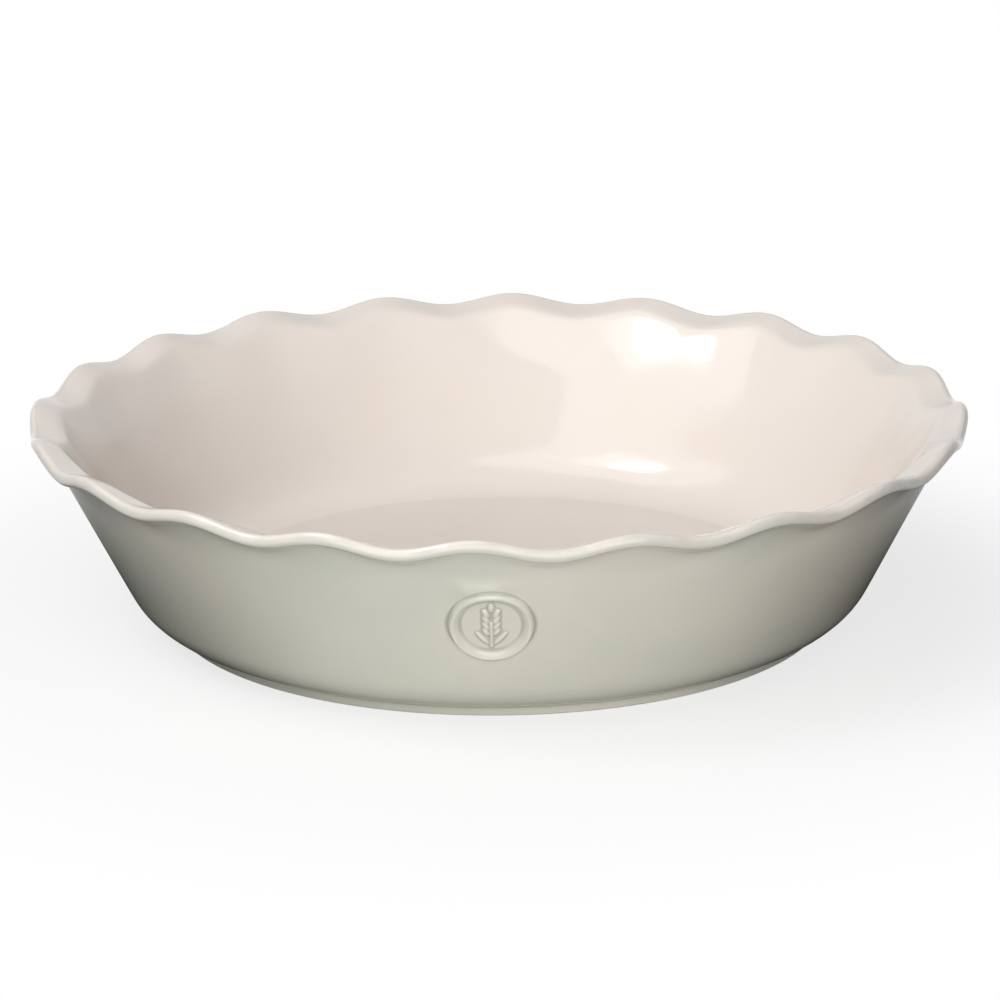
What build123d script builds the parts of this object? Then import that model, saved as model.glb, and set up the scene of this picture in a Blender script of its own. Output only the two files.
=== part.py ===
from build123d import *
import math
import os

os.makedirs("parts", exist_ok=True)

# Wall: a cone that leans out, measured on the glazed outside where the lip leaves it
root_radius = 128.0
root_height = 54.0
wall_lean = 26.8
wall_thickness = 7.0

# Lip: flares out of the wall to a rounded edge that waves up and down and in and out
ruffle_count = 20
ruffle_rise = 1.65
ruffle_reach = 0.5
lip_thickness = 4.2
lip_overhang = 3.65
lip_lift = 3.8
lip_knee_inset = 3.4
lip_knee_lift = 0.8

# Lip curve on the inside: where it leaves the wall, and how far each end pulls on it
inner_root_drop = 3.5
inner_root_bite = 0.3
inner_root_turn = 5.0
inner_root_pull = 5.0
inner_edge_pull = 6.0

# Lip curve on the underside, the same way
under_root_drop = 6.0
under_root_bite = 0.8
under_root_turn = 8.0
under_root_pull = 4.0
under_edge_pull = 3.0

# Base: a flat floor, a large curve up to the wall, and a low foot ring
floor_thickness = 6.5
base_rise = 14.0
base_flat = 1.5
well_curve_radius = 27.0
foot_radius = 94.3
foot_width = 6.0
foot_height = 3.0
foot_edge_radius = 0.7
foot_junction_radius = 0.8
recess_depth = 2.0
recess_corner_radius = 0.9

# Glaze: one thickness all over, stopped short of the face that the dish stands on
glaze_thickness = 0.4
glaze_line_height = 1.0

# Seal: a raised ring round a plain ear of wheat, laid on the wall above the front of the foot
seal_diameter = 23.6
seal_height = 33.7
seal_turn = 1.45
seal_ring_width = 3.0
seal_ring_rise = 1.0
seal_ring_round = 0.6
seal_field_rise = 0.2
ear_rise = 0.7
stem_width = 0.9
stem_foot = 7.6
grain_pairs = 4
grain_length = 3.4
grain_width = 1.6
grain_pitch = 2.2
grain_offset = 1.5
grain_lean = 28.0
ear_foot = 2.0
leaf_length = 6.0
leaf_width = 1.5
leaf_offset = 2.6
leaf_drop = 4.4
leaf_lean = 38.0

# Working values
stations = 8
cap_step = 1.8
cap_inset = 1.0
overrun = 10.0
lean = math.radians(wall_lean)
lip_edge_radius = root_radius + lip_overhang
lip_edge_height = root_height + lip_lift
pitch_angle = 360 / ruffle_count


def outer_radius(height, setback):
    # Outside of the wall at a height, set back into the wall
    return root_radius - setback / math.cos(lean) + (height - root_height) * math.tan(lean)


def inner_radius(height, setback):
    # Inside of the wall at a height, set back into the wall
    return outer_radius(height, wall_thickness - setback)


def step(point, angle, length):
    # A point moved by a length along an angle above the horizontal
    return (point[0] + length * math.cos(angle), point[1] + length * math.sin(angle))


def one_ruffle(setback):
    # One wave of the lip, lofted through meridian sections from one mid-height to the next
    with BuildPart() as ruffle:
        for station in range(stations + 1):
            turn = math.radians(pitch_angle * (station / stations - 1 / 4))
            outward = (math.sin(turn), -math.cos(turn), 0)
            across = (-math.cos(turn), -math.sin(turn), 0)
            wave = math.cos(turn * ruffle_count)
            edge = (lip_edge_radius + ruffle_reach * wave, lip_edge_height + ruffle_rise * wave)
            knee = (root_radius - lip_knee_inset, root_height + lip_knee_lift)
            slope = math.atan2(edge[1] - knee[1], edge[0] - knee[0])
            half = lip_thickness / 2 - setback
            tip = step(edge, slope, half)
            top = step(edge, slope + math.pi / 2, half)
            bottom = step(edge, slope - math.pi / 2, half)

            inner_height = root_height - inner_root_drop
            inner_root = (inner_radius(inner_height, setback) - inner_root_bite, inner_height)
            inner_angle = math.pi / 2 - lean - math.radians(inner_root_turn)
            inner_pull = step(inner_root, inner_angle, inner_root_pull)
            top_pull = step(top, slope, -inner_edge_pull)

            under_height = root_height - under_root_drop
            under_root = (outer_radius(under_height, setback) - under_root_bite, under_height)
            under_angle = math.pi / 2 - lean - math.radians(under_root_turn)
            under_pull = step(under_root, under_angle, under_root_pull)
            bottom_pull = step(bottom, slope, -under_edge_pull)

            with BuildSketch(Plane(origin=(0, 0, 0), x_dir=outward, z_dir=across)):
                with BuildLine():
                    Bezier(inner_root, inner_pull, top_pull, top)
                    ThreePointArc(top, tip, bottom)
                    Bezier(bottom, bottom_pull, under_pull, under_root)
                    Line(under_root, inner_root)
                make_face()
        loft()
    return ruffle.part


def dish_form(setback, foot_face):
    # The whole dish, set back from its glazed surface, standing on a foot cut off at foot_face
    ruffle = one_ruffle(setback)
    rise = math.radians(base_rise)
    ring_outside = foot_radius - setback
    ring_inside = foot_radius - foot_width + setback
    ceiling = recess_depth + setback
    cap_height = root_height - cap_step
    base_lift = foot_height + setback / math.cos(rise)

    # Corner where the lines of the base and the wall would meet
    corner_radius = outer_radius(base_lift - foot_radius * math.tan(rise), setback)
    corner_radius = corner_radius / (1 - math.tan(lean) * math.tan(rise))
    corner = (corner_radius, base_lift + (corner_radius - foot_radius) * math.tan(rise))
    junction = (ring_outside, base_lift - setback * math.tan(rise))
    half_turn = (math.pi / 2 - lean - rise) / 2
    glazed_run = (corner_radius - ring_outside) / math.cos(rise)
    base_curve_radius = (glazed_run - base_flat) / math.tan(half_turn)

    with BuildPart() as form:
        with BuildSketch(Plane.XZ) as blank:
            with BuildLine():
                Polyline(
                    (0, ceiling),
                    (ring_inside, ceiling),
                    (ring_inside, foot_face),
                    (ring_outside, foot_face),
                    junction,
                    corner,
                    (outer_radius(root_height, setback), root_height),
                    (inner_radius(cap_height, setback) - cap_inset, cap_height),
                    (0, cap_height),
                    close=True,
                )
            make_face()
            fillet(blank.vertices().sort_by_distance(corner)[0], base_curve_radius)
            fillet(blank.vertices().sort_by_distance(junction)[0], foot_junction_radius + setback)
            recess_corner = blank.vertices().sort_by_distance((ring_inside, ceiling))[0]
            fillet(recess_corner, recess_corner_radius - setback)
        revolve(axis=Axis.Z)

        with PolarLocations(0, ruffle_count):
            add(ruffle)

        floor = recess_depth + floor_thickness - setback
        mouth = lip_edge_height + ruffle_rise + overrun
        with BuildSketch(Plane.XZ) as well:
            with BuildLine():
                Polyline(
                    (0, floor),
                    (inner_radius(floor, setback), floor),
                    (inner_radius(mouth, setback), mouth),
                    (0, mouth),
                    close=True,
                )
            make_face()
            well_corner = well.vertices().sort_by_distance((inner_radius(floor, setback), floor))[0]
            fillet(well_corner, well_curve_radius + setback)
        revolve(axis=Axis.Z, mode=Mode.SUBTRACT)
    return form.part


def wall_band(level):
    # A band of the wall round the seal's height, from the clay's surface out to a level
    low = seal_height - seal_diameter / 2
    high = seal_height + seal_diameter / 2
    with BuildPart() as band:
        with BuildSketch(Plane.XZ):
            with BuildLine():
                Polyline(
                    (outer_radius(low, glaze_thickness), low),
                    (outer_radius(low, -level), low),
                    (outer_radius(high, -level), high),
                    (outer_radius(high, glaze_thickness), high),
                    close=True,
                )
            make_face()
        revolve(axis=Axis.Z)
    return band.part


clay_form = dish_form(glaze_thickness, 0)
glazed_form = dish_form(0, glaze_line_height)
field_band = wall_band(seal_field_rise)
ring_band = wall_band(seal_ring_rise)
ear_band = wall_band(ear_rise)

# The pot itself: one piece of pressed stoneware, bare only at the foot's standing face
with BuildPart() as clay_body:
    add(clay_form)
    fillet(clay_body.edges().group_by(Axis.Z)[0], foot_edge_radius)
clay_body.part.label = "clay_body"

# All the glaze: what lies between the glazed outside and the clay
with BuildPart() as glaze_coat:
    add(glazed_form)
    add(clay_form, mode=Mode.SUBTRACT)

# Space of the liner glaze: bounded inside the clay, it comes out at the crown of the lip's edge
middle = wall_thickness / 2
floor_middle = recess_depth + floor_thickness / 2
middle_corner = (outer_radius(floor_middle, middle), floor_middle)
seam_foot = (lip_edge_radius - lip_thickness / 2, lip_edge_height - lip_thickness / 3)
seam_angle = math.atan2(ruffle_rise, ruffle_reach)
seam_top = step(seam_foot, seam_angle, overrun)
with BuildPart() as liner_space:
    with BuildSketch(Plane.XZ) as liner_section:
        with BuildLine():
            Polyline(
                (0, floor_middle),
                middle_corner,
                (outer_radius(root_height, middle), root_height),
                seam_foot,
                seam_top,
                (0, seam_top[1]),
                close=True,
            )
        make_face()
        fillet(liner_section.vertices().sort_by_distance(middle_corner)[0], well_curve_radius + middle)
    revolve(axis=Axis.Z)

# Cream liner glaze over the well and the top of the lip
with BuildPart() as inner_glaze:
    add(glaze_coat.part)
    add(liner_space.part, mode=Mode.INTERSECT)
inner_glaze.part.label = "inner_glaze"

# Seal: field, ring and ear are one sprig of clay that follows the wall's curve
seal_angle = math.radians(seal_turn)
seal_radius = outer_radius(seal_height, 0)
seal_across = (math.cos(seal_angle), math.sin(seal_angle), 0)
wall_point = (seal_radius * math.sin(seal_angle), -seal_radius * math.cos(seal_angle), seal_height)
flat = math.cos(lean)
wall_normal = (flat * math.sin(seal_angle), -flat * math.cos(seal_angle), -math.sin(lean))
seal_plane = Plane(origin=wall_point, x_dir=seal_across, z_dir=wall_normal)
seal_reach = seal_ring_rise + seal_diameter / 8

with BuildPart() as seal_ring:
    with BuildSketch(seal_plane):
        Circle(seal_diameter / 2)
        Circle(seal_diameter / 2 - seal_ring_width, mode=Mode.SUBTRACT)
    extrude(amount=seal_reach, both=True)
    add(ring_band, mode=Mode.INTERSECT)
    crown = seal_ring.faces().sort_by(Axis(wall_point, wall_normal))[-1]
    fillet(crown.edges(), seal_ring_round)

with BuildPart() as wheat_ear:
    with BuildSketch(seal_plane):
        with Locations((0, -stem_foot / 2)):
            Rectangle(stem_width, stem_foot)
        for side in (-1, 1):
            for pair in range(grain_pairs):
                grain_height = pair * grain_pitch - ear_foot
                with Locations(Location((side * grain_offset, grain_height), -side * grain_lean)):
                    Ellipse(grain_width / 2, grain_length / 2)
            with Locations(Location((side * leaf_offset, -leaf_drop), -side * leaf_lean)):
                Ellipse(leaf_width / 2, leaf_length / 2)
        with Locations((0, grain_pairs * grain_pitch - ear_foot)):
            Ellipse(grain_width / 2, grain_length / 2)
    extrude(amount=seal_reach, both=True)
    add(ear_band, mode=Mode.INTERSECT)

with BuildPart() as seal_roundel:
    with BuildSketch(seal_plane):
        Circle(seal_diameter / 2)
    extrude(amount=seal_reach, both=True)
    add(field_band, mode=Mode.INTERSECT)
    add(seal_ring.part)
    add(wheat_ear.part)
seal_roundel.part.label = "seal_roundel"

# Grey-green glaze over the lip's edge and the outside, open round the seal
with BuildPart() as outer_glaze:
    add(glaze_coat.part.solids().sort_by(Axis.Z)[-1])
    add(liner_space.part, mode=Mode.SUBTRACT)
    add(seal_roundel.part, mode=Mode.SUBTRACT)
outer_glaze.part.label = "outer_glaze"

# The same glaze under the floor, inside the foot ring
with BuildPart() as underside_glaze:
    add(glaze_coat.part.solids().sort_by(Axis.Z)[0])
underside_glaze.part.label = "underside_glaze"

for piece in (clay_body, inner_glaze, outer_glaze, underside_glaze, seal_roundel):
    export_step(piece.part, f"parts/{piece.part.label}.step")
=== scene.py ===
import math

import bpy
import numpy as np
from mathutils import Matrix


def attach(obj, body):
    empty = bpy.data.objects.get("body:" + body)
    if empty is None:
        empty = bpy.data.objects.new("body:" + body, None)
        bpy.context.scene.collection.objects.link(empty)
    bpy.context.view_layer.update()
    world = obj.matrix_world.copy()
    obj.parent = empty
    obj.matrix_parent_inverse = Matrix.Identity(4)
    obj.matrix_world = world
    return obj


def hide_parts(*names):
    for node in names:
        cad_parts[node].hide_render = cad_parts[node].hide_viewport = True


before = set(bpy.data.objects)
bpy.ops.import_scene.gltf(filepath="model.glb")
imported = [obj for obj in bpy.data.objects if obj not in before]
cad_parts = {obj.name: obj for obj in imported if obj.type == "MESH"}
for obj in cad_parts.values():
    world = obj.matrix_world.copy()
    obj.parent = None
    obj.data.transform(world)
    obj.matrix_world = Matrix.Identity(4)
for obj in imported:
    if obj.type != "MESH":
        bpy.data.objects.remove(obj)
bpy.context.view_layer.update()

# The pot: one piece of pressed buff stoneware. A leaning wall rises from a flat floor, flares into
# a lip that was pressed into twenty waves between finger and thumb, and stands on a foot ring.
# Every coat of glaze follows this form, so its lines are worked out here once, turn by turn.
mm = 0.001
wall_root_radius = 128.0 * mm
wall_root_height = 54.0 * mm
wall_lean = math.radians(26.8)
wall_thickness = 7.0 * mm
ruffle_count = 20
ruffle_rise = 1.65 * mm
ruffle_reach = 0.5 * mm
lip_thickness = 3.5 * mm
lip_squareness = 2.5
lip_inset = 0.14 * mm
lip_edge_radius = wall_root_radius + 4.0 * mm - lip_inset
lip_edge_height = wall_root_height + 4.15 * mm - lip_inset
lip_knee_radius = wall_root_radius - 3.4 * mm
lip_knee_height = wall_root_height + 1.5 * mm
lip_knee_rise = 0.8 * mm
lip_knee_bend = 4.0 * mm
crown_angle = math.radians(95)
crown_gap = math.radians(0.3)
crease_reach = 0.6 * mm
crease_rise = 0.3 * mm
underside_pull = 3.0 * mm
wall_pull = 4.5 * mm
wall_top_drop = 6.5 * mm
flare_drop = 13.0 * mm
flare_radius = 60.0 * mm
flare_turn = math.radians(9.5)
floor_thickness = 6.5 * mm
floor_rim_width = 22.0 * mm
base_rise = math.radians(14.0)
base_flat = 1.5 * mm
well_curve_radius = 20.5 * mm
foot_radius = 94.3 * mm
foot_width = 6.0 * mm
foot_height = 3.0 * mm
foot_edge_radius = 0.5 * mm
foot_junction_radius = 0.7 * mm
recess_depth = 2.0 * mm
recess_corner_radius = 0.9 * mm
glaze_thickness = 0.4 * mm
glaze_line_height = 0.35 * mm

columns_per_ruffle = 26
column_count = ruffle_count * columns_per_ruffle
turns = np.arange(column_count) * 2 * math.pi / column_count

# No two waves are pressed quite alike: each stands a little aside and a little lower than the next
pressed_aside = 0.10 * np.sin(3 * turns + 0.6) + 0.08 * np.sin(7 * turns + 2.1)
pressed_less = 0.01 + 0.05 * (1 + np.sin(5 * turns - 1.4))
wave_place = ruffle_count * turns + pressed_aside
waves = np.cos(wave_place) * (1 - pressed_less)
creased_waves = (np.cos(wave_place) + 0.08 * np.cos(3 * wave_place)) * (1 - pressed_less)


def place(radius, height):
    # One point of the form at every turn
    return np.stack(np.broadcast_arrays(radius, height, turns)[:2], axis=-1)


def heading(angle):
    return place(np.cos(angle), np.sin(angle))


def straight(start, end, count):
    share = np.arange(count)[:, None, None] / count
    return start + (end - start) * share


def bend(start, start_pull, end_pull, end, count):
    t = np.arange(count)[:, None, None] / count
    s = 1 - t
    return s ** 3 * start + 3 * s * s * t * start_pull + 3 * s * t * t * end_pull + t ** 3 * end


def arc(centre, radius, first, last, count):
    share = np.arange(count)[:, None] / count
    angle = first + (last - first) * share + 0 * turns
    return centre + radius * np.stack((np.cos(angle), np.sin(angle)), axis=-1)


def lip_edge(edge, slope, half, first, last, count):
    # Round the lip's edge, which is a little squarer than half a circle
    share = np.arange(count)[:, None] / count
    angle = first + (last - first) * share + 0 * turns
    along, over = np.abs(np.cos(angle - slope)), np.abs(np.sin(angle - slope))
    radius = half * (along ** lip_squareness + over ** lip_squareness) ** (-1 / lip_squareness)
    return edge + radius[..., None] * np.stack((np.cos(angle), np.sin(angle)), axis=-1)


def pressed(line, first, middle, last):
    # Below the lip's edge the waves are creased, and they fade away down the wall
    row = np.arange(len(line))[:, None]
    share = np.clip((row - first) / (middle - first), 0, 1) * np.clip((last - row) / (last - middle), 0, 1)
    share = share * share * (3 - 2 * share)
    crease = (share * crease_reach * creased_waves, share * crease_rise * creased_waves)
    return line + np.stack(crease, axis=-1)


def crossing(start, along, end, back):
    # Where the run that leaves the start meets the run that comes in to the end
    gap = end - start
    spread = along[:, 0] * back[:, 1] - along[:, 1] * back[:, 0]
    length = (gap[:, 0] * back[:, 1] - gap[:, 1] * back[:, 0]) / spread
    return start + length[:, None] * along


def eased(line, first, last, times):
    # Softens the joins between the runs of a line, as a potter's rib does
    for _ in range(times):
        middle = line[first:last]
        line[first:last] = (line[first - 1:last - 1] + 2 * middle + line[first + 1:last + 1]) / 4
    return line


def outer_radius(height, setback):
    leaned = (height - wall_root_height) * math.tan(wall_lean)
    return wall_root_radius - setback / math.cos(wall_lean) + leaned


def inner_radius(height, setback):
    return outer_radius(height, wall_thickness - setback)


def lip(setback):
    # Middle of the lip's edge, the lip's slope and half its thickness
    edge_radius = lip_edge_radius + ruffle_reach * waves
    edge_height = lip_edge_height + ruffle_rise * waves
    knee_height = lip_knee_height + lip_knee_rise * creased_waves
    slope = np.arctan2(edge_height - knee_height, edge_radius - lip_knee_radius)
    return place(edge_radius, edge_height), slope, lip_thickness / 2 - setback


def inside_line(setback):
    # From the middle of the floor over the well's curve and up the wall to the crown of the lip
    floor = recess_depth + floor_thickness - setback
    curve = well_curve_radius + setback
    touch_height = floor + curve - curve * math.sin(wall_lean)
    curve_centre = inner_radius(touch_height, setback) - curve * math.cos(wall_lean)
    flare_height = wall_root_height - flare_drop
    flare_start = place(inner_radius(flare_height, setback), flare_height)
    flare = flare_radius - setback
    flare_centre = flare_start + flare * heading(-wall_lean)
    flare_last = math.pi - wall_lean - flare_turn
    root = flare_centre + flare * heading(flare_last)
    edge, slope, half = lip(setback)
    top = edge + half * heading(slope + math.pi / 2)
    up_wall, along_lip = heading(flare_last - math.pi / 2), heading(slope)
    knee = crossing(root, up_wall, top, along_lip)
    below_knee, past_knee = knee - lip_knee_bend * up_wall, knee + lip_knee_bend * along_lip
    line = np.concatenate([
        straight(place(0, floor), place(curve_centre - floor_rim_width, floor), 10),
        straight(place(curve_centre - floor_rim_width, floor), place(curve_centre, floor), 16),
        arc(place(curve_centre, floor + curve), curve, -math.pi / 2, -wall_lean, 24),
        straight(place(inner_radius(touch_height, setback), touch_height), flare_start, 18),
        arc(flare_centre, flare, math.pi - wall_lean, flare_last, 12),
        straight(root, below_knee, 6),
        bend(below_knee, knee, knee, past_knee, 6),
        straight(past_knee, top, 8),
        lip_edge(edge, slope, half, slope + math.pi / 2, crown_angle, 7),
        lip_edge(edge, slope, half, crown_angle + crown_gap, crown_angle, 1),
        lip_edge(edge, slope, half, crown_angle, crown_angle, 1),
    ])
    eased(line, 22, 30, 2)
    eased(line, 44, 84, 8)
    return pressed(line, 58, 90, 106)


def outside_line(setback):
    # From the crown of the lip down its underside, the wall and the base to the side of the foot
    edge, slope, half = lip(setback)
    bottom = edge - half * heading(slope + math.pi / 2)
    wall_top = wall_root_height - wall_top_drop
    root = place(outer_radius(wall_top, setback), wall_top)
    side = foot_radius - setback
    base_lift = foot_height + setback / math.cos(base_rise)
    corner = outer_radius(base_lift - foot_radius * math.tan(base_rise), setback)
    corner = corner / (1 - math.tan(wall_lean) * math.tan(base_rise))
    half_turn = (math.pi / 2 - wall_lean - base_rise) / 2
    curve = ((corner - side) / math.cos(base_rise) - base_flat) / math.tan(half_turn)
    flat_radius = side + base_flat * math.cos(base_rise)
    flat_height = base_lift + (flat_radius - foot_radius) * math.tan(base_rise)
    curve_radius = flat_radius - curve * math.sin(base_rise)
    curve_height = flat_height + curve * math.cos(base_rise)
    curve_centre = place(curve_radius, curve_height)
    touch = curve_centre + curve * heading(-wall_lean)
    small = foot_junction_radius + setback
    small_lift = (side + small - foot_radius) * math.tan(base_rise)
    small_height = base_lift + small_lift - small / math.cos(base_rise)
    junction = place(side + small, small_height)
    joined = junction + small * heading(math.pi / 2 + base_rise)
    line = np.concatenate([
        lip_edge(edge, slope, half, crown_angle, crown_angle - crown_gap, 1),
        lip_edge(edge, slope, half, crown_angle - crown_gap, slope - math.pi / 2, 26),
        bend(bottom, bottom - underside_pull * heading(slope),
             root + wall_pull * heading(math.pi / 2 - wall_lean), root, 14),
        straight(root, touch, 44),
        arc(curve_centre, curve, -wall_lean, base_rise - math.pi / 2, 26),
        straight(place(flat_radius, flat_height), joined, 3),
        arc(junction, small, math.pi / 2 + base_rise, math.pi, 8),
        straight(place(side, small_height), place(side, glaze_line_height + glaze_thickness), 4),
    ])
    eased(line, 36, 48, 2)
    eased(line, 66, 108, 16)
    return pressed(line, 18, 32, 44)


def turned_piece(name, line, measures):
    # A closed piece from its line, which ends on the axis at both ends or comes back to its start
    on_axis = abs(line[0, 0, 0]) < 1e-9
    ring = line[1:-1] if on_axis else line
    count = ring.shape[1]
    angle = np.arange(count) * 2 * math.pi / count
    radius, height = ring[..., 0], ring[..., 1]
    corners = np.stack((radius * np.sin(angle), -radius * np.cos(angle), height), axis=-1).reshape(-1, 3)
    index = np.arange(len(ring) * count).reshape(len(ring), count)
    below = index[1:] if on_axis else np.roll(index, -1, axis=0)
    above = index[:-1] if on_axis else index
    beside = np.roll(above, -1, axis=1)
    across = np.roll(below, -1, axis=1)
    faces = np.stack((above, below, across, beside), axis=-1).reshape(-1, 4).tolist()
    if on_axis:
        first, last = len(corners), len(corners) + 1
        ends = [(0, 0, line[0, 0, 1]), (0, 0, line[-1, 0, 1])]
        corners = np.concatenate((corners, ends))
        faces += [(first, a, b) for a, b in zip(index[0], np.roll(index[0], -1))]
        faces += [(last, b, a) for a, b in zip(index[-1], np.roll(index[-1], -1))]
    mesh = bpy.data.meshes.new(name)
    mesh.from_pydata(corners.tolist(), [], faces)
    mesh.polygons.foreach_set("use_smooth", [True] * len(mesh.polygons))
    for measure, values in measures.items():
        if on_axis:
            values = np.append(values[1:-1].ravel(), (values[0, 0], values[-1, 0]))
        mesh.attributes.new(measure, "FLOAT", "POINT").data.foreach_set("value", values.ravel())
    piece = bpy.data.objects.new(name, mesh)
    bpy.context.collection.objects.link(piece)
    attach(piece, "root")
    return piece


def clay_line():
    side = foot_radius - glaze_thickness
    inner_side = foot_radius - foot_width + glaze_thickness
    ceiling = recess_depth + glaze_thickness
    soft = foot_edge_radius
    fillet = recess_corner_radius - glaze_thickness
    return np.concatenate([
        inside_line(glaze_thickness)[:-1:2],
        outside_line(glaze_thickness)[::2],
        arc(place(side - soft, soft), soft, 0, -math.pi / 2, 6),
        arc(place(inner_side + soft, soft), soft, -math.pi / 2, -math.pi, 6),
        arc(place(inner_side - fillet, ceiling - fillet), fillet, 0, math.pi / 2, 5),
        [place(inner_side - fillet, ceiling), place(0, ceiling)],
    ])


clay_body = turned_piece("pot", clay_line()[:, ::2], {})
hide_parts("clay_body")


def socket(tree, value, target):
    # Joins a socket to another, or sets a plain value on it
    if hasattr(value, "is_output"):
        tree.links.new(value, target)
    elif target.type == "RGBA":
        target.default_value = (*value, 1)
    else:
        target.default_value = value


def between(tree, value, low, high, start=0.0, end=1.0):
    # Rises smoothly from start to end as the value goes from low to high
    made = tree.nodes.new("ShaderNodeMapRange")
    made.interpolation_type = "SMOOTHSTEP"
    for name, given in (("Value", value), ("From Min", low), ("From Max", high)):
        socket(tree, given, made.inputs[name])
    for name, given in (("To Min", start), ("To Max", end)):
        socket(tree, given, made.inputs[name])
    return made.outputs["Result"]


def mottle(tree, size, detail, seed):
    # Soft noise whose spots are about as wide as the size
    made = tree.nodes.new("ShaderNodeTexNoise")
    made.noise_dimensions = "4D"
    made.inputs["Scale"].default_value = 1 / size
    made.inputs["Detail"].default_value = detail
    made.inputs["W"].default_value = seed
    where = tree.nodes.new("ShaderNodeTexCoord")
    tree.links.new(where.outputs["Object"], made.inputs["Vector"])
    return made.outputs["Fac"]


def blended(tree, share, first, second):
    made = tree.nodes.new("ShaderNodeMix")
    made.data_type = "RGBA"
    socket(tree, share, made.inputs["Factor"])
    socket(tree, first, made.inputs[6])
    socket(tree, second, made.inputs[7])
    return made.outputs[2]


def bumped(tree, height, depth):
    made = tree.nodes.new("ShaderNodeBump")
    made.inputs["Distance"].default_value = depth
    socket(tree, height, made.inputs["Height"])
    return made.outputs["Normal"]


def finish(name):
    made = bpy.data.materials.new(name)
    made.use_nodes = True
    return made, made.node_tree, made.node_tree.nodes["Principled BSDF"].inputs


# The pot's clay, bare only on the ring that the dish stands on: sanded, matt, with fine dark grit
clay, tree, shader = finish("bare stoneware")
buff = blended(tree, mottle(tree, 9 * mm, 3.0, 4.0), (0.56, 0.45, 0.33), (0.68, 0.58, 0.46))
grit = between(tree, mottle(tree, 0.7 * mm, 1.0, 7.0), 0.66, 0.74)
socket(tree, blended(tree, grit, buff, (0.25, 0.17, 0.11)), shader["Base Color"])
socket(tree, bumped(tree, mottle(tree, 0.5 * mm, 3.0, 2.0), 0.06 * mm), shader["Normal"])
shader["Roughness"].default_value = 0.85
clay_body.data.materials.append(clay)

# The liner glaze: a cream glaze poured in and swilled round, so it lies over the floor, the wall
# and the top of the lip. It runs thin over the lip's shoulder, and the floor is painted a darker cream as
# painted shade.
inside_start = 0.8
cream_tone = (0.89, 0.815, 0.755)
cream_warm_tone = (0.88, 0.795, 0.73)
cream_floor_shade_tone = (0.72, 0.635, 0.585)
cream_thin_tone = (0.66, 0.55, 0.46)
cream_thin_share = 0.55
floor_shade_share = 0.35
floor_rows = 26
ripple_depth = 0.035 * mm
unevenness_depth = 0.022 * mm


def unevenness(turn, height, start):
    # The slow rises and hollows, under a tenth of a millimetre high, that hand smoothing leaves
    waviness = 0
    for count, pitch in ((3, 10.0), (5, -15.0), (8, 7.0), (12, -9.0)):
        waviness = waviness + np.cos(count * turn + start * count + height / (pitch * mm))
    below_lip = np.clip((lip_knee_height - height) / (12 * mm), 0, 1)
    above_foot = np.clip((height - foot_height) / (8 * mm), 0, 1)
    return unevenness_depth * waviness * below_lip * above_foot


def moved_out(line, amount):
    run = np.gradient(line, axis=0)
    across = np.stack((-run[..., 1], run[..., 0]), axis=-1)
    across = across / np.maximum(np.linalg.norm(across, axis=-1, keepdims=True), 1e-9)
    return line + across * amount[..., None]


def bulge_of(line):
    # How sharply the surface bulges at each point, as radians in a millimetre
    run = np.diff(line, axis=0)
    length = np.linalg.norm(run, axis=-1)
    direction = np.unwrap(np.arctan2(run[..., 1], run[..., 0]), axis=0)
    turning = np.diff(direction, axis=0) / ((length[1:] + length[:-1]) / 2 / mm)
    bulge = -np.concatenate((turning[:1], turning, turning[-1:]))
    return eased(bulge, 1, len(bulge) - 1, 3)


def with_hidden(measure, hidden_rows):
    return np.concatenate((measure, np.zeros((hidden_rows, measure.shape[1]))))


seen = inside_line(0)
seen = moved_out(seen, unevenness(turns, seen[..., 1], inside_start))
hidden = inside_line(glaze_thickness)[::-4]
liner_loop = np.concatenate((seen, hidden))
floor_edge = float(seen[floor_rows, :, 0].mean()) / mm
liner_measures = {
    "from_middle": liner_loop[..., 0] / mm,
    "bulge": with_hidden(bulge_of(seen), len(hidden)),
}
inner_glaze = turned_piece("liner_glaze", liner_loop, liner_measures)
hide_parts("inner_glaze")

# How glaze lies on any of the pieces: slow clouds, thin over sharp edges, darker in hollows as
# pooled glaze and painted shade, and the faint ripple of a surface that set while it ran
glaze_looks = ("Cloud", "Thin", "Pooled And Shaded", "Ripple")


def sums(tree, operation, *values, clamp=False):
    made = tree.nodes.new("ShaderNodeMath")
    made.operation = operation
    made.use_clamp = clamp
    for number, value in enumerate(values):
        socket(tree, value, made.inputs[number])
    return made.outputs[0]


def measure_of(tree, name):
    made = tree.nodes.new("ShaderNodeAttribute")
    made.attribute_name = name
    return made.outputs["Fac"]


def effect(name, takes, gives):
    # An empty shader group with its named inputs, each with its plain value, and its outputs
    group = bpy.data.node_groups.new(name, "ShaderNodeTree")
    for label, value in takes.items():
        made = group.interface.new_socket(label, in_out="INPUT", socket_type="NodeSocketFloat")
        made.default_value = value
    for label in gives:
        group.interface.new_socket(label, in_out="OUTPUT", socket_type="NodeSocketFloat")
    return group, group.nodes.new("NodeGroupInput").outputs, group.nodes.new("NodeGroupOutput").inputs


def used(tree, group, **values):
    made = tree.nodes.new("ShaderNodeGroup")
    made.node_tree = group
    for label, value in values.items():
        socket(tree, value, made.inputs[label.replace("_", " ")])
    return made.outputs


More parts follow.
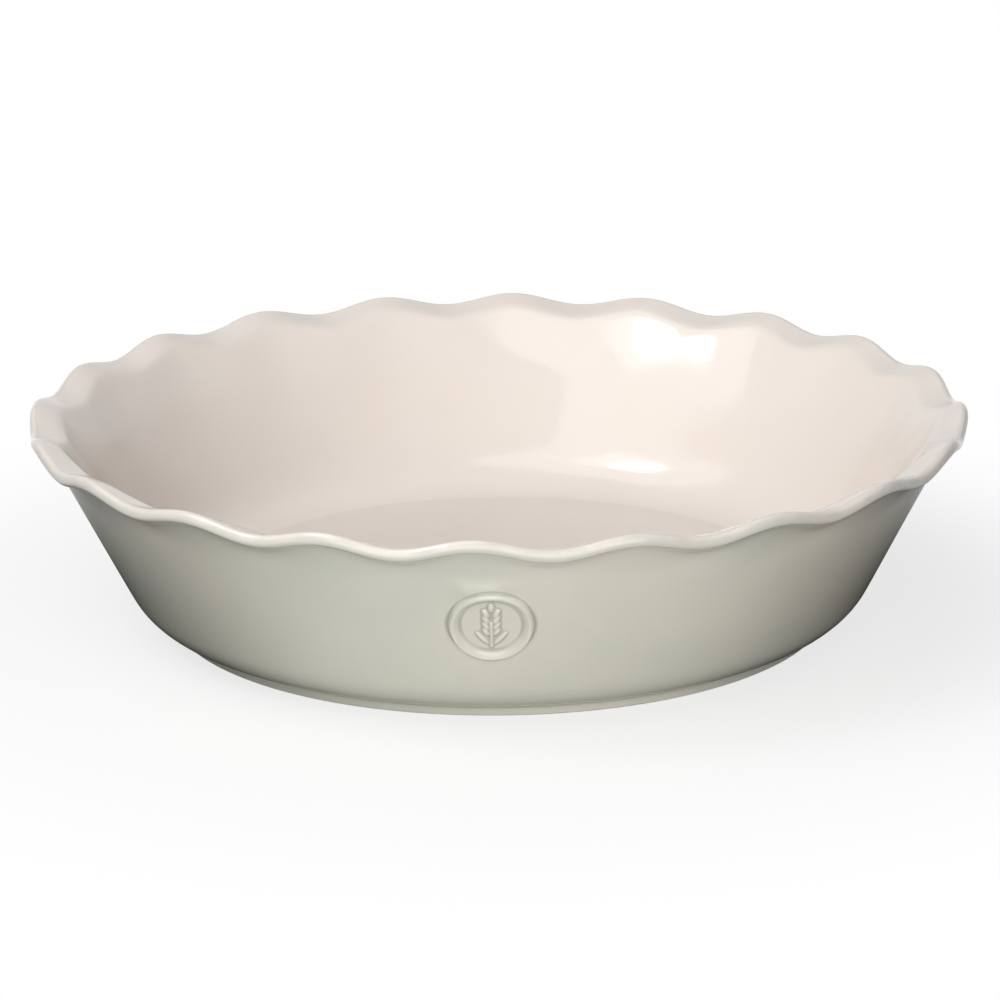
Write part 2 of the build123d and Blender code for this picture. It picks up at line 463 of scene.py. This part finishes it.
group, given, wanted = effect("how glaze lies", {"Cloud Size": 0.045}, glaze_looks)
cloud_where = group.nodes.new("ShaderNodeTexCoord")
cloud = group.nodes.new("ShaderNodeTexNoise")
cloud.inputs["Detail"].default_value = 4.0
cloud.inputs["Distortion"].default_value = 0.4
group.links.new(cloud_where.outputs["Object"], cloud.inputs["Vector"])
socket(group, sums(group, "DIVIDE", 1.0, given["Cloud Size"]), cloud.inputs["Scale"])
socket(group, between(group, cloud.outputs["Fac"], 0.3, 0.7), wanted["Cloud"])
bulging = measure_of(group, "bulge")
broken = between(group, mottle(group, 5 * mm, 3.0, 1.0), 0.35, 0.65, 0.6, 1.0)
socket(group, sums(group, "MULTIPLY", between(group, bulging, 0.22, 0.75), broken), wanted["Thin"])
# Darker in hollows: partly pooled glaze, partly painted shade, as under the lip and above the foot
socket(group, between(group, bulging, -0.08, -1.0), wanted["Pooled And Shaded"])
coarse = sums(group, "MULTIPLY", mottle(group, 9 * mm, 1.0, 3.0), 0.8)
fine = sums(group, "MULTIPLY", mottle(group, 1.3 * mm, 2.0, 5.0), 0.2)
socket(group, sums(group, "ADD", coarse, fine), wanted["Ripple"])
glaze_lie = group

cream, tree, shader = finish("cream liner glaze")
lie = used(tree, glaze_lie, Cloud_Size=0.05)
tone = blended(tree, lie["Cloud"], cream_tone, cream_warm_tone)
from_middle = measure_of(tree, "from_middle")
# Painted shade: the floor, out to the well's curve, is painted darker than the wall
floor_shade = between(tree, from_middle, floor_edge - 1.0, floor_edge + 1.0, floor_shade_share, 0.0)
tone = blended(tree, floor_shade, tone, cream_floor_shade_tone)
tone = blended(tree, sums(tree, "MULTIPLY", lie["Thin"], cream_thin_share), tone, cream_thin_tone)
socket(tree, tone, shader["Base Color"])
socket(tree, between(tree, lie["Cloud"], 0.0, 1.0, 0.07, 0.11), shader["Roughness"])
socket(tree, bumped(tree, lie["Ripple"], ripple_depth), shader["Normal"])
inner_glaze.data.materials.append(cream)

# The outside glaze: a pale grey-green one, brushed over the lip's edge, its underside, the wall,
# the base and the side of the foot. It stops a third of a millimetre above the face it stands on.
# The two glazes melt into each other on the lip's edge, so the grey-green only comes up below it.
outside_start = 2.3
rolled = glaze_thickness / 2
grey_green_tone = (0.66, 0.665, 0.575)
grey_green_warm_tone = (0.745, 0.715, 0.615)
grey_green_pooled_shade_tone = (0.44, 0.45, 0.36)
grey_green_thin_tone = (0.80, 0.77, 0.68)
grey_green_pooled_shade_share = 0.75
grey_green_thin_share = 0.8
lip_edge_tone = (0.81, 0.745, 0.685)
lip_face_tone = (0.67, 0.65, 0.575)
gathered_height = 1.0 * mm
gathered_width = 7.4 * mm
gathered_aside = 2.4 * mm
gathered_start = 5.0 * mm
gathered_end = 1.9 * mm
gathered_fade = 9.0 * mm
ledge_painted_highlight = 0.8
seal_height = 33.7 * mm
seal_turn = math.radians(1.45)
seal_skirt = 12.3 * mm


def gathered(turn, height):
    # Glaze gathers in a low ledge on top of the seal's ring as it runs down the wall
    from_seal = np.mod(turn - seal_turn + math.pi, 2 * math.pi) - math.pi
    across = from_seal * outer_radius(height, 0) + gathered_aside
    up = (height - seal_height) / math.cos(wall_lean) - seal_skirt
    share = np.clip((gathered_start - up) / (gathered_start - gathered_end), 0, 1)
    fade = np.clip((gathered_end - up) / gathered_fade, 0, 1)
    step = share * share * (3 - 2 * share) * (1 - fade * fade * (3 - 2 * fade))
    return gathered_height * np.exp(-(across / gathered_width) ** 4) * step


seen = outside_line(0)
below_lip = seen[..., 1] < lip_knee_height
lift = unevenness(turns, seen[..., 1], outside_start) + gathered(turns, seen[..., 1]) * below_lip
seen = moved_out(seen, lift)
rolled_end = arc(place(foot_radius - rolled, glaze_line_height + rolled), rolled, 0, -math.pi, 8)
hidden = outside_line(glaze_thickness)[::-4]
run_length = np.linalg.norm(np.diff(seen, axis=0), axis=-1)
from_crown = np.concatenate((0 * run_length[:1], np.cumsum(run_length, axis=0))) / mm
# The ledge on the seal is also painted lighter through the thin-glaze tone, as a painted highlight
bulge = bulge_of(seen) + ledge_painted_highlight * (gathered(turns, seen[..., 1]) / gathered_height) ** 3
outside_measures = {
    "from_crown": with_hidden(from_crown, len(rolled_end) + len(hidden)),
    "bulge": with_hidden(bulge, len(rolled_end) + len(hidden)),
}
outside_loop = np.concatenate((seen, rolled_end, hidden))
outer_glaze = turned_piece("outside_glaze", outside_loop, outside_measures)
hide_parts("outer_glaze")

grey_green, tree, shader = finish("grey-green outside glaze")
lie = used(tree, glaze_lie, Cloud_Size=0.07)
tone = blended(tree, lie["Cloud"], grey_green_tone, grey_green_warm_tone)
# Painted shade, partly real pooled glaze: hollows under the lip, above the foot and in the seal go darker
pooled_and_shade = sums(tree, "MULTIPLY", lie["Pooled And Shaded"], grey_green_pooled_shade_share)
tone = blended(tree, pooled_and_shade, tone, grey_green_pooled_shade_tone)
thin = sums(tree, "MULTIPLY", lie["Thin"], grey_green_thin_share)
tone = blended(tree, thin, tone, grey_green_thin_tone)
wander = between(tree, mottle(tree, 6 * mm, 3.0, 9.0), 0.3, 0.7, -0.5, 0.5)
from_lip = sums(tree, "ADD", measure_of(tree, "from_crown"), wander)
tone = blended(tree, between(tree, from_lip, 3.4, 5.6, 1.0, 0.0), tone, lip_face_tone)
tone = blended(tree, between(tree, from_lip, 1.0, 3.0, 1.0, 0.0), tone, lip_edge_tone)
socket(tree, tone, shader["Base Color"])
socket(tree, between(tree, lie["Cloud"], 0.0, 1.0, 0.08, 0.12), shader["Roughness"])
socket(tree, bumped(tree, lie["Ripple"], ripple_depth), shader["Normal"])
outer_glaze.data.materials.append(grey_green)

# The glaze under the floor: the same grey-green, wiped off the ring that the dish stands on, so
# it lies as a shallow dish of its own inside the foot.
ring_inside = foot_radius - foot_width
fillet = recess_corner_radius
underside_loop = np.concatenate([
    [place(0, recess_depth + glaze_thickness)],
    [place(ring_inside / 2, recess_depth + glaze_thickness)],
    [place(ring_inside + glaze_thickness - fillet, recess_depth + glaze_thickness)],
    [place(ring_inside + glaze_thickness, recess_depth + glaze_thickness - fillet)],
    arc(place(ring_inside + rolled, glaze_line_height + rolled), rolled, 0, -math.pi, 8),
    arc(place(ring_inside - fillet, recess_depth - fillet), fillet, 0, math.pi / 2, 8),
    straight(place(ring_inside - fillet, recess_depth), place(0, recess_depth), 20),
    [place(0, recess_depth)],
])
underside_measures = {"from_crown": np.full(underside_loop.shape[:2], 99.0)}
underside_glaze = turned_piece("base_glaze", underside_loop, underside_measures)
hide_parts("underside_glaze")
underside_glaze.data.materials.append(grey_green)

# The seal: a round sprig of clay pressed from a mould and laid on the wall before glazing, with a
# raised ring round a plain ear of wheat. The outside's glaze runs over it and softens its edges.
ring_crest = 10.5 * mm
ring_outer_slope = 1.3 * mm
ring_inner_slope = 2.7 * mm
ring_rise = 1.7 * mm
field_rise = 0.12 * mm
ear_rise = 1.0 * mm
grain_width = 1.7 * mm
skirt_drop = 0.12 * mm
seal_sink = 0.36 * mm
seal_cells = 150
seal_stretch = 1.10


def raised(distance):
    return np.where(np.abs(distance) < 1, (1 + np.cos(math.pi * distance)) / 2, 0)


def grain(across, up, middle_across, middle_up, lean, length, width):
    aside, along = across - middle_across, up - middle_up
    over = (aside * math.cos(lean) - along * math.sin(lean)) / (width / 2)
    along = (aside * math.sin(lean) + along * math.cos(lean)) / (length / 2)
    return np.sqrt(np.clip(1 - over * over - along * along, 0, 1))


def ear_of_wheat(across, up):
    # One grain at the tip, four pairs below it, and two leaves beside the stem
    ear = grain(across, up, 0, 5.9 * mm, 0, 3.2 * mm, grain_width)
    for side in (-1, 1):
        for pair in range(4):
            height = (2.0 * pair - 1.9) * mm
            paired = grain(across, up, side * 1.4 * mm, height, side * 0.49, 3.1 * mm, grain_width)
            ear = np.maximum(ear, paired)
        leaf = grain(across, up, side * 2.3 * mm, -4.2 * mm, side * 0.7, 5.4 * mm, 1.5 * mm)
        ear = np.maximum(ear, 0.85 * leaf)
    stem = np.clip(1 - (across / (0.5 * mm)) ** 2, 0, 1) * (np.abs(up + 3.0 * mm) < 4.2 * mm)
    return np.maximum(ear, 0.75 * np.sqrt(stem))


def blurred(values, times):
    for _ in range(times):
        padded = np.pad(values, 1, mode="edge")
        around = padded[:-2, 1:-1] + padded[2:, 1:-1] + padded[1:-1, :-2] + padded[1:-1, 2:]
        values = around / 8 + values / 2
    return values


def on_wall(across, up, level):
    # The point of the seal's own plane, moved along its normal to a level above the glazed wall
    side = np.array((math.cos(seal_turn), math.sin(seal_turn), 0))
    out = np.array((math.sin(seal_turn), -math.cos(seal_turn), 0))
    normal = out * math.cos(wall_lean) - np.array((0, 0, math.sin(wall_lean)))
    upward = out * math.sin(wall_lean) + np.array((0, 0, math.cos(wall_lean)))
    middle = out * outer_radius(seal_height, 0) + np.array((0, 0, seal_height))
    flat = middle + across[..., None] * side + seal_stretch * up[..., None] * upward
    lift = np.zeros_like(across)
    for _ in range(4):
        point = flat + lift[..., None] * normal
        turn = np.arctan2(point[..., 0], -point[..., 1])
        radius = np.hypot(point[..., 0], point[..., 1])
        away = (radius - outer_radius(point[..., 2], 0)) * math.cos(wall_lean)
        wall = unevenness(turn, point[..., 2], outside_start) + gathered(turn, point[..., 2])
        lift = lift + level + wall - away
    return flat + lift[..., None] * normal


grid = np.linspace(-1, 1, seal_cells + 1)
u, v = np.meshgrid(grid, grid)
across = seal_skirt * u * np.sqrt(1 - v * v / 2)
up = seal_skirt * v * np.sqrt(1 - u * u / 2)
from_middle = np.hypot(across, up)
ring_slope = np.where(from_middle > ring_crest, ring_outer_slope, ring_inner_slope)
ring = raised((from_middle - ring_crest) / ring_slope)
ear = blurred(ear_of_wheat(across, up), 3)
inside = 1 - np.clip((from_middle - ring_crest) / ring_outer_slope, 0, 1)
skirt = np.clip((from_middle - ring_crest) / (seal_skirt - ring_crest), 0, 1) ** 2
level = field_rise * inside + (ring_rise - field_rise) * ring
level = np.maximum(level, field_rise + ear_rise * ear * (from_middle < ring_crest)) - skirt_drop * skirt
level = blurred(level, 4)
top = on_wall(across, up, level)
cell = 2 * seal_skirt / seal_cells
seal_bulge = (level - blurred(level, 8)) / cell ** 2 * mm

border = np.concatenate((
    [(0, i) for i in range(seal_cells)],
    [(i, seal_cells) for i in range(seal_cells)],
    [(seal_cells, seal_cells - i) for i in range(seal_cells)],
    [(seal_cells - i, 0) for i in range(seal_cells)],
))
rim_across, rim_up = across[border[:, 0], border[:, 1]], up[border[:, 0], border[:, 1]]
sunk = np.full(len(border), -seal_sink)
back = [on_wall(rim_across * share, rim_up * share, sunk) for share in (0.985, 0.7, 0.35)]
back_middle = on_wall(np.zeros(1), np.zeros(1), sunk[:1])
corners = np.concatenate((top.reshape(-1, 3), *back, back_middle))
index = np.arange((seal_cells + 1) ** 2).reshape(seal_cells + 1, seal_cells + 1)
cells = (index[:-1, :-1], index[:-1, 1:], index[1:, 1:], index[1:, :-1])
faces = np.stack(cells, axis=-1).reshape(-1, 4).tolist()
rings = [index[border[:, 0], border[:, 1]]]
rings += [index.size + number * len(border) + np.arange(len(border)) for number in range(3)]
for outer, inner in zip(rings[:-1], rings[1:]):
    faces += np.stack((outer, inner, np.roll(inner, -1), np.roll(outer, -1)), axis=-1).tolist()
faces += [(a, len(corners) - 1, b) for a, b in zip(rings[-1], np.roll(rings[-1], -1))]
mesh = bpy.data.meshes.new("seal")
mesh.from_pydata(corners.tolist(), [], faces)
mesh.polygons.foreach_set("use_smooth", [True] * len(mesh.polygons))
hidden_corners = len(corners) - index.size
for measure, values in (("bulge", seal_bulge.ravel()), ("from_crown", np.full(index.size, 40.0))):
    values = np.append(values, np.zeros(hidden_corners))
    mesh.attributes.new(measure, "FLOAT", "POINT").data.foreach_set("value", values)
seal = bpy.data.objects.new("seal", mesh)
bpy.context.collection.objects.link(seal)
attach(seal, "root")
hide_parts("seal_roundel")
seal.data.materials.append(grey_green)

# The table: a plain pale sheet. Far from the dish it is white to the camera and in the glaze, and
# round the foot it keeps the dish's soft shadow. White cards before and behind the dish throw light
# up on its wall, and the table is dark to the glaze at both sides, so the dish's edges stay dark.
white_from = 0.11
white_to = 0.25
white_near = 0.75
card_aside = 0.015
card_spread = 0.7
card_fade = 0.09
table_mesh = bpy.data.meshes.new("table")
table_mesh.from_pydata([(-4, -4, 0), (4, -4, 0), (4, 4, 0), (-4, 4, 0)], [], [(0, 1, 2, 3)])
table = bpy.data.objects.new("table", table_mesh)
bpy.context.collection.objects.link(table)

paper, tree, shader = finish("white paper")
path = tree.nodes.new("ShaderNodeLightPath").outputs
mirrored = sums(tree, "MAXIMUM", path["Is Glossy Ray"], path["Is Transmission Ray"])
where = tree.nodes.new("ShaderNodeTexCoord")
spot = tree.nodes.new("ShaderNodeSeparateXYZ")
tree.links.new(where.outputs["Object"], spot.inputs[0])
aside = sums(tree, "ABSOLUTE", sums(tree, "SUBTRACT", spot.outputs["X"], card_aside))
ahead = sums(tree, "ABSOLUTE", spot.outputs["Y"])
ahead = sums(tree, "SUBTRACT", ahead, sums(tree, "MULTIPLY", aside, card_spread))
card = blended(tree, between(tree, ahead, 0.0, card_fade), (0.05, 0.05, 0.05), (0.64, 0.64, 0.64))
socket(tree, blended(tree, path["Is Camera Ray"], card, (0.9, 0.9, 0.9)), shader["Base Color"])
shader["Roughness"].default_value = 0.9
shader["Specular IOR Level"].default_value = 0.1
away = tree.nodes.new("ShaderNodeVectorMath")
away.operation = "LENGTH"
tree.links.new(where.outputs["Object"], away.inputs[0])
to_camera = between(tree, away.outputs["Value"], white_from, white_to, white_near, 1.0)
to_glaze = between(tree, away.outputs["Value"], white_from, white_to)
to_camera = sums(tree, "MULTIPLY", to_camera, path["Is Camera Ray"])
to_glaze = sums(tree, "MULTIPLY", to_glaze, mirrored)
white = tree.nodes.new("ShaderNodeEmission")
shown = tree.nodes.new("ShaderNodeMixShader")
socket(tree, sums(tree, "ADD", to_camera, to_glaze, clamp=True), shown.inputs[0])
tree.links.new(tree.nodes["Principled BSDF"].outputs[0], shown.inputs[1])
tree.links.new(white.outputs[0], shown.inputs[2])
tree.links.new(shown.outputs[0], tree.nodes["Material Output"].inputs["Surface"])
table.data.materials.append(paper)

# The studio: a white room that gives the dish little light of its own, and most of that from
# behind. A key of three soft boxes hangs high on the left, and a wide fill stands low in front.
light_from_front = 0.04
light_from_behind = 0.15
world = bpy.data.worlds.new("studio")
bpy.context.scene.world = world
world.use_nodes = True
tree = world.node_tree
room = tree.nodes["Background"]
room.inputs["Color"].default_value = (1, 1, 1, 1)
path = tree.nodes.new("ShaderNodeLightPath").outputs
mirrored = sums(tree, "MAXIMUM", path["Is Glossy Ray"], path["Is Transmission Ray"])
direction = tree.nodes.new("ShaderNodeSeparateXYZ")
tree.links.new(tree.nodes.new("ShaderNodeTexCoord").outputs["Generated"], direction.inputs[0])
given_light = between(tree, direction.outputs["Y"], 0.35, 0.85, light_from_front, light_from_behind)
shown = sums(tree, "MAXIMUM", path["Is Camera Ray"], mirrored)
socket(tree, sums(tree, "MAXIMUM", given_light, shown), room.inputs["Strength"])


def lamp(name, azimuth, elevation, distance, width, height, level):
    # A soft box that faces the dish. The azimuth goes from the front towards the right, in degrees,
    # and the level is how bright it makes a white card that faces it where the dish stands.
    box = bpy.data.lights.new(name, "AREA")
    box.shape = "RECTANGLE"
    box.size = width
    box.size_y = height
    box.energy = level * 4 * math.pi * distance ** 2
    stand = bpy.data.objects.new(name, box)
    turn, rise = math.radians(azimuth), math.radians(elevation)
    stand.location = (
        distance * math.cos(rise) * math.sin(turn),
        -distance * math.cos(rise) * math.cos(turn),
        distance * math.sin(rise),
    )
    stand.rotation_euler = stand.location.to_track_quat("Z", "Y").to_euler()
    bpy.context.collection.objects.link(stand)


lamp("key", -58, 54, 1.3, 0.46, 0.48, 0.07)
lamp("key_middle", -67, 55, 1.3, 0.26, 0.30, 0.09)
lamp("key_round", -58, 58, 1.6, 1.7, 1.5, 0.40)
lamp("front_fill", 7, 15, 1.3, 1.7, 0.95, 0.64)

# The camera: it stands as far away and as high as the photograph's did, and is rolled a little as
# that one was. Its shift is only what the photograph's framing needs.
camera_distance = 1.235
camera_turn = math.radians(2.51)
camera_rise = math.radians(16.51)
focal_pixels = 4288
image_pixels = 1000
middle_across = 498.44
middle_down = 492.27
aimed_height = 0.035
camera_roll = math.radians(-0.485)
camera = bpy.data.objects.new("camera", bpy.data.cameras.new("camera"))
bpy.context.collection.objects.link(camera)
camera.data.sensor_width = 36
camera.data.lens = focal_pixels / image_pixels * camera.data.sensor_width
camera.data.shift_x = (image_pixels / 2 - middle_across) / image_pixels
camera.data.shift_y = (middle_down - image_pixels / 2) / image_pixels
camera.location = (
    camera_distance * math.cos(camera_rise) * math.sin(camera_turn),
    -camera_distance * math.cos(camera_rise) * math.cos(camera_turn),
    aimed_height + camera_distance * math.sin(camera_rise),
)
camera.rotation_euler = (math.pi / 2 - camera_rise, 0, camera_turn)
camera.rotation_euler.rotate_axis("Z", camera_roll)
camera.data.clip_end = 20
bpy.context.scene.camera = camera

bpy.context.scene.view_settings.view_transform = "Standard"
bpy.context.view_layer.update()
